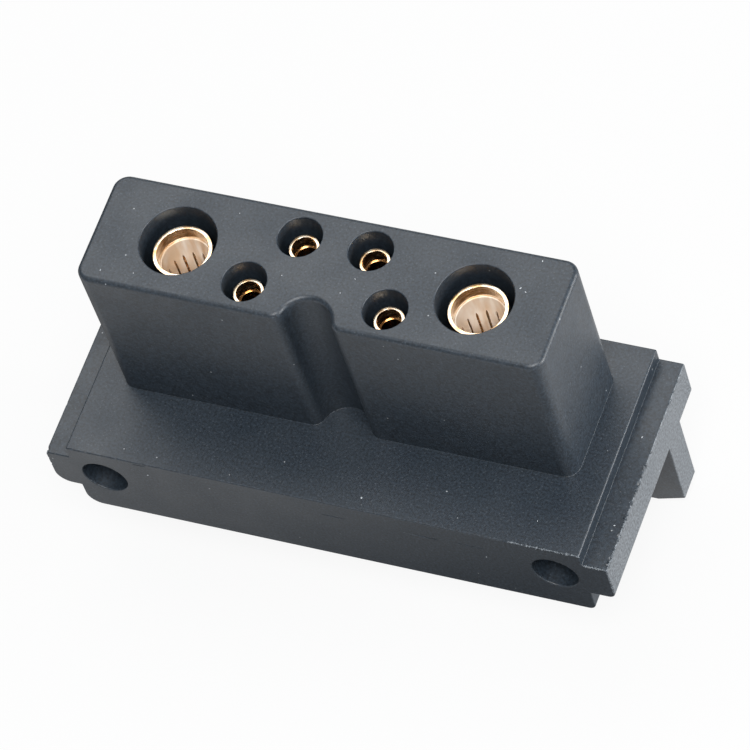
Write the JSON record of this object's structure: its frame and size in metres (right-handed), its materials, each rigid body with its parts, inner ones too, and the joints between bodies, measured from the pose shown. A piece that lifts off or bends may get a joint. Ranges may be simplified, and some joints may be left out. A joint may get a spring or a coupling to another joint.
{
  "type": "rectangular power and signal connector socket",
  "caption": "Rectangular moulded connector socket on a stepped base with end tongues and flange screw holes; a keyed tower holds recessed, gold-plated power and signal contacts.",
  "frame": {"origin": "middle of the two screw holes, on the front face of the base", "axes": "+X along the long side, +Y from the front face to the back, +Z to the mating side"},
  "size_m": [0.046, 0.0185, 0.0288],
  "materials": {
    "housing": "moulded glass-filled nylon, fine matte grain",
    "contact": "turned and gold-plated, bright",
    "spring": "stamped copper alloy, gold-plated, satin",
    "clip": "plain spring steel"
  },
  "bodies": {
    "root": {"housing": "housing", "power_contact_left": "contact", "power_contact_right": "contact", "power_spring_left": "spring", "power_spring_right": "spring", "power_clip_left": "clip", "power_clip_right": "clip", "signal_contact_front_left": "contact", "signal_contact_front_right": "contact", "signal_contact_back_left": "contact", "signal_contact_back_right": "contact", "signal_spring_front_left": "spring", "signal_spring_front_right": "spring", "signal_spring_back_left": "spring", "signal_spring_back_right": "spring", "signal_clip_front_left": "clip", "signal_clip_front_right": "clip", "signal_clip_back_left": "clip", "signal_clip_back_right": "clip"}
  },
  "joints": []
}
